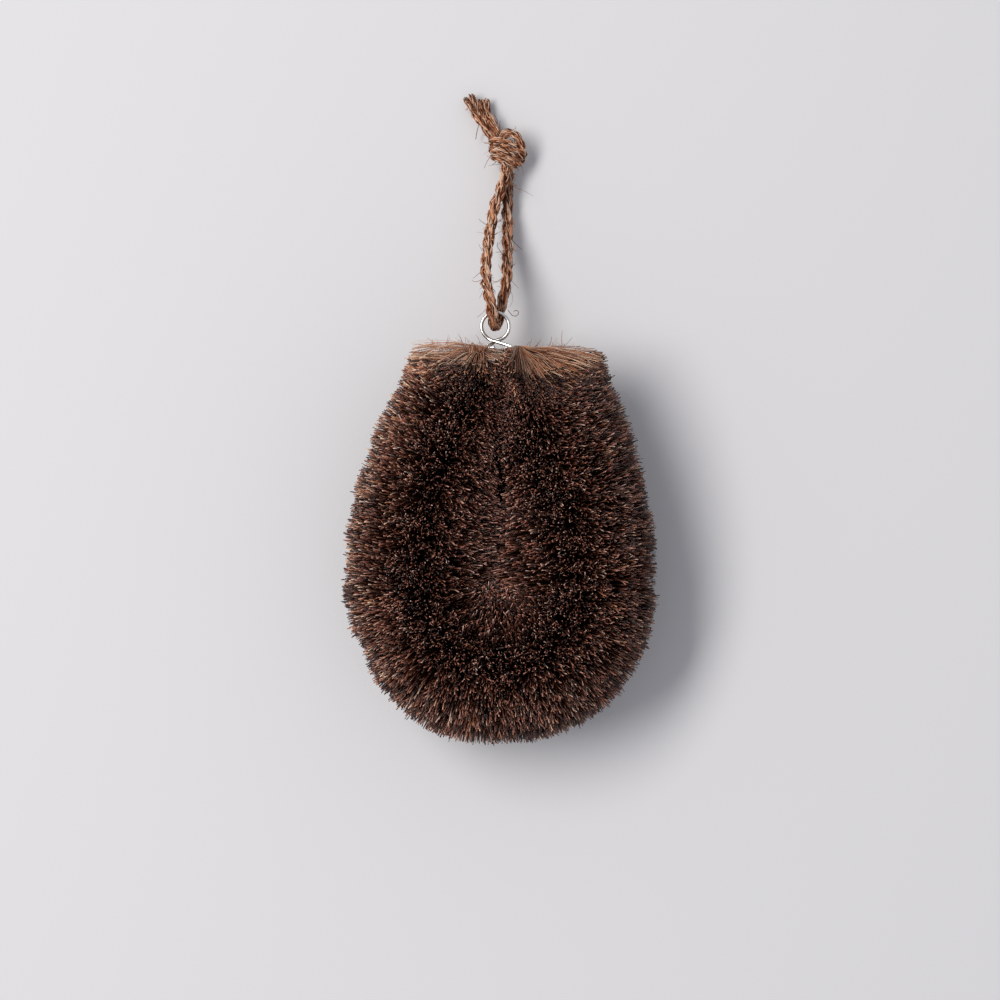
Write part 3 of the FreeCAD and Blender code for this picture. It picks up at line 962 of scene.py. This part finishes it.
def shading(tuft):
    """Each fibre's place across the map, and the place up it where its root is."""
    rng, count, from_end, outward = tuft.rng, tuft.count, tuft.from_end, tuft.outward
    hidden = tuft.crowded & (from_end > 2.0)
    pale = 0.84 * bump(from_end, 0, 3.8) * np.where(hidden, 0.15, 1.0)
    # More pale fibre at the outline, reaching further down the left side: partly real pale fibre,
    # partly painted light from the lamp on the left.
    pale = pale + 0.45 * fading(from_end, 26 if tuft.on_left else 12) * outward**3
    pale = pale + 0.13 * outward**2 * np.clip(1 + tuft.tone, 0, 3)
    is_pale = rng.uniform(0, 1, count) < pale
    dark = np.clip(rng.beta(0.8, 1.5, count) * DARK_END, 0.0, DARK_END)
    # Upward-facing fibres about 9 mm from the open ends are painted darker: painted shade for the deep
    # gaps there.
    painted_shade_band = (0.55 if tuft.on_left else 0.35) * bump(from_end, 9, 7)
    dark = dark * (1 - painted_shade_band * tuft.facing**2)
    clump_tone = 1 + 0.45 * outward**2 * np.clip(tuft.tone, -1.6, 1.6)
    dark = np.minimum(dark * (1 - 0.15 * outward**2) * clump_tone, DARK_END)
    # Pale fibres that lie open, at the loose ends and the outline, are painted lighter: painted light.
    painted_light_lift = 0.09 * np.maximum(tuft.loose, outward**2) * (rng.uniform(0, 1, count) < 0.6)
    shade = np.where(is_pale, rng.uniform(PALE_START, 1.0, count) + painted_light_lift, dark)
    # Pale fibres, loose ones most, and dark fibres at the outline start higher up the map, so less
    # painted shade darkens their roots.
    start = np.where(is_pale, np.where(tuft.loose > 0.2, 0.92, 0.6), 0.3 * outward**2)
    return np.minimum(shade, 1.0), start


print("bristles about", BRISTLE_THICK, "mm thick at the root; shades up to", DARK_END, "are dark")

# %% [markdown]
# ### All eighteen tufts
#
# The steps run in this order for each tuft, because every step draws its chances from the
# same seeded row of random numbers.

# %% Grow the tufts
def grow_tuft(arc, place, before):
    """One tuft as a mesh. before is the rod's length up to this arc."""
    tuft = plant(arc, place, before)
    gather(tuft)
    trim(tuft)
    stand(tuft)
    crowd(tuft)
    shear_ends(tuft)
    lines = curve(tuft)
    radii = thickness(tuft)
    shades, starts = shading(tuft)
    name = f"palm_bristles_{tuft.number:02d}"
    return thread_mesh(name, lines * MM, radii * MM, shades, start=starts)


tufts = []
so_far = 0.0
for arc in rod_arcs:
    for place in range(arc.tufts):
        tuft = grow_tuft(arc, place, so_far)
        number = arc.first_tuft + place
        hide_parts(f"fibre_tuft_{number:02d}")
        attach(tuft, "brush")
        tufts.append(tuft)
    so_far += arc_length(arc)
print(len(tufts), "tufts,", sum(len(t.data.polygons) for t in tufts), "faces in all")

# %% [markdown]
# ## Stray fibres at the open ends
#
# Some long fibres have sprung loose from the last turns and stand up past the trimmed edge.
# A fringe of shorter, thicker ones stands over the left of the wire crossing.

# %% Let some fibres spring out
rng = np.random.default_rng(91)
stray_count = 70
stray_side = rng.choice([-1, 1], stray_count)
stray_roots = np.stack(
    [
        stray_side * rng.uniform(6.0, 25.0, stray_count),
        rng.uniform(55.0, 58.6, stray_count),
        ROD_Z + rng.normal(0, 6.0, stray_count),
    ],
    1,
)
stray_ways = np.stack(
    [
        stray_side * rng.uniform(-0.4, 1.4, stray_count),
        rng.uniform(0.25, 1.0, stray_count),
        rng.normal(0, 0.5, stray_count),
    ],
    1,
)
stray_lengths = np.clip(rng.gamma(2.6, 1.4, stray_count), 2, 6.8) * MM
fringe_count = 90
FRINGE_TIMES = 1.8  # a fringe fibre is this much thicker
fringe_roots = np.stack(
    [
        rng.uniform(-10.5, -4.6, fringe_count),
        rng.uniform(54.6, 56.2, fringe_count),
        rng.uniform(25.5, 31.0, fringe_count),
    ],
    1,
)
fringe_ways = np.stack(
    [
        rng.normal(0.1, 0.5, fringe_count),
        rng.uniform(0.6, 1.2, fringe_count),
        rng.normal(0.3, 0.3, fringe_count),
    ],
    1,
)
fringe_lengths = rng.uniform(1.6, 4.2, fringe_count) * MM
stray_lines = curled_hairs(
    rng,
    np.concatenate([stray_roots, fringe_roots]) * MM,
    np.concatenate([stray_ways, fringe_ways]),
    np.concatenate([stray_lengths, fringe_lengths]),
    0.7,
)
taper = np.linspace(1, 0.6, HAIR_RINGS)
stray_thick = rng.uniform(0.09, 0.14, (len(stray_lines), 1)) * MM * taper
stray_thick[stray_count:] *= FRINGE_TIMES
stray_shades = np.concatenate(
    [rng.uniform(0.3, 1.0, stray_count), rng.uniform(0.78, 0.98, fringe_count)]
)
strays = thread_mesh("palm_bristle_strays", stray_lines, stray_thick, stray_shades, start=0.88)
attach(strays, "brush")
print(len(stray_lines), "stray fibres")

# %% [markdown]
# ## Palm bristle
#
# Bark fibre of a palm, boiled, combed and cut. Each fibre is a dense dark brown stick with
# a waxy skin, IOR about 1.5 like other plant fibre, and it is glossy along its length. From
# a distance the roll looks nearly black, because light is lost between the fibres, and the
# side-on fibres at the outline look reddish brown. The fibres at the open ends are paler.
#
# Across the map a ramp goes from the darkest bristle to tan, and then, in its right fifth,
# from copper to the palest end fibre. Up the map a fibre is painted darker towards its root,
# as painted shade for the depth of the pile, and has its full colour at its tip. Real fibres
# are blotchy every few millimetres, so a noise stretched along the fibre breaks the colour
# and the gloss.

# %% Mix the bristle material
BLOTCHES_ACROSS = 60.0  # so many that neighbouring threads never share one
TIP_AT = 0.97  # where on the map a thread has its full tip colour


def fibre_material(name, shades, root, tip, first, blotches, roughness, gloss):
    """Palm fibre. shades: the ramp's stops across the map. blotches: how many along a fibre.

    root and tip: how bright each end is painted; below 1 it is painted shade. first: where up the map
    that changes.
    """
    material, tree, shader = new_material(name)
    place = add(tree, "ShaderNodeUVMap", uv_map="OFBake")
    parts = add(tree, "ShaderNodeSeparateXYZ", {"Vector": place.outputs["UV"]})
    colour = add(tree, "ShaderNodeValToRGB", {"Fac": parts.outputs["X"]}, stops=shades)
    along = add(
        tree, "ShaderNodeMapRange",
        {
            "Value": parts.outputs["Y"],
            "From Min": first, "From Max": TIP_AT, "To Min": root, "To Max": tip,
        },
        interpolation_type="SMOOTHSTEP",
    )
    stretched = add(
        tree, "ShaderNodeMapping",
        {"Vector": place.outputs["UV"], "Scale": (BLOTCHES_ACROSS, blotches, 1.0)},
    )
    spots = add(
        tree, "ShaderNodeTexNoise",
        {"Vector": stretched.outputs["Vector"], "Scale": 1.0, "Detail": 2.0},
    )
    mottle = add(
        tree, "ShaderNodeMapRange",
        {
            "Value": spots.outputs["Fac"],
            "From Min": 0.3, "From Max": 0.7, "To Min": 0.45, "To Max": 1.0,
        },
    )
    light = add(
        tree, "ShaderNodeMath",
        {0: along.outputs["Result"], 1: mottle.outputs["Result"]}, operation="MULTIPLY",
    )
    lit = add(
        tree, "ShaderNodeVectorMath",
        {0: colour.outputs["Color"], "Scale": light.outputs["Value"]}, operation="SCALE",
    )
    tree.links.new(lit.outputs["Vector"], shader.inputs["Base Color"])
    worn = add(
        tree, "ShaderNodeMapRange",
        {"Value": spots.outputs["Fac"], "To Min": roughness - 0.12, "To Max": roughness + 0.12},
    )
    tree.links.new(worn.outputs["Result"], shader.inputs["Roughness"])
    shader.inputs["IOR"].default_value = 1.5
    shader.inputs["Specular IOR Level"].default_value = gloss
    return material


# root=0.42 paints each fibre darker towards its root: painted shade for the depth of the pile.
palm_bristle = fibre_material(
    "Palm bristle, combed and trimmed",
    [
        (0.0, "#261812"), (0.2, "#562e21"), (0.4, "#9e5e49"), (0.6, "#da967e"),
        (0.76, "#fad8c8"), (0.8, "#955435"), (0.9, "#e59a70"), (1.0, "#ffdcbe"),
    ],
    root=0.42, tip=1.0, first=0.6, blotches=9.0, roughness=0.32, gloss=0.6,
)
cover([*tufts, strays], palm_bristle)

# %% [markdown]
# ## Palm rope fibre
#
# The rope is spun from thinner, sun-bleached fibre of the same plant: tan to copper, with
# some darker threads. It is less waxy than the bristles, so it is rougher. Each thread is
# painted darker towards its far end, which along the loop is painted shade on its second,
# right-hand leg, the one that lies lower.

# %% Mix the rope material
# tip=0.77 paints each thread darker towards its far end: painted shade on the loop's lower leg.
palm_rope = fibre_material(
    "Palm fibre rope, hand-laid",
    [(0.0, "#200b04"), (0.25, "#823e1e"), (0.5, "#d0865a"), (0.75, "#ffc59f"), (1.0, "#ffe8d2")],
    root=1.0, tip=0.77, first=0.15, blotches=26.0, roughness=0.5, gloss=0.25,
)
cover([rope_loop, rope_knot, *rope_tails, rope_hairs], palm_rope)

# %% [markdown]
# ## Stainless spring wire
#
# Cold-drawn through a die, which leaves a bright skin with faint lines along the wire.
# Steel reflects a little warm grey at every angle, so it is fully metallic, and its look
# comes from what it mirrors. The die lines are finer than a render can show, and are drawn
# coarser, as a slight change of roughness.

# %% Draw the wire material
wire_steel, tree, shader = new_material("Stainless spring wire, drawn bright")
shader.inputs["Base Color"].default_value = linear("#dedddb")
shader.inputs["Metallic"].default_value = 1.0
place = add(tree, "ShaderNodeTexCoord")
# marks about 0.4 mm wide and 1.1 mm long
lines_at = add(
    tree, "ShaderNodeMapping",
    {"Vector": place.outputs["Object"], "Scale": (2600.0, 900.0, 2600.0)},
)
die_lines = add(
    tree, "ShaderNodeTexNoise",
    {"Vector": lines_at.outputs["Vector"], "Scale": 1.0, "Detail": 2.0},
)
polish = add(
    tree, "ShaderNodeMapRange", {"Value": die_lines.outputs["Fac"], "To Min": 0.16, "To Max": 0.34}
)
tree.links.new(polish.outputs["Result"], shader.inputs["Roughness"])
cover([*wires, nodes["core_strand_lower"], nodes["core_strand_upper"]], wire_steel)

# %% [markdown]
# ## The table
#
# A pale matt board, large enough to fill the view, gives the brush its soft shadow.

# %% Lay the table
bpy.ops.mesh.primitive_plane_add(size=6.0, location=(0, 0, -0.2 * MM))
table = bpy.context.object
table.name = "table"
board, tree, shader = new_material("Matt painted board")
shader.inputs["Base Color"].default_value = linear("#dcdde0")
shader.inputs["Roughness"].default_value = 0.9
shader.inputs["Specular IOR Level"].default_value = 0.1
table.data.materials.append(board)
print("table", table.dimensions.x, "m wide")

# %% [markdown]
# ## Light
#
# One large soft lamp stands up and to the left, much longer one way than the other, and a
# pale surround fills the shadows, as a window and white walls would. Together they light
# the table so that its colour comes out about as it was written.

# %% Hang the lamp
world = bpy.data.worlds.new("pale_surround")
bpy.context.scene.world = world
world.use_nodes = True
surround = world.node_tree.nodes["Background"]
surround.inputs["Color"].default_value = linear("#f8f8ff")
surround.inputs["Strength"].default_value = 0.44

lamp = bpy.data.lights.new("window", "AREA")
lamp.shape = "ELLIPSE"
lamp.size = 2.1
lamp.size_y = 0.72
lamp.energy = 41
lamp.color = linear("#fffaf5")[:3]
window = bpy.data.objects.new("window", lamp)
window.location = (-1.20, 0.42, 1.86)
to_brush = Vector((0, 0.01, 0)) - window.location
window.rotation_euler = to_brush.to_track_quat("-Z", "Y").to_euler()
bpy.context.scene.collection.objects.link(window)
print("window lamp", round(window.location.length, 2), "m from the brush")
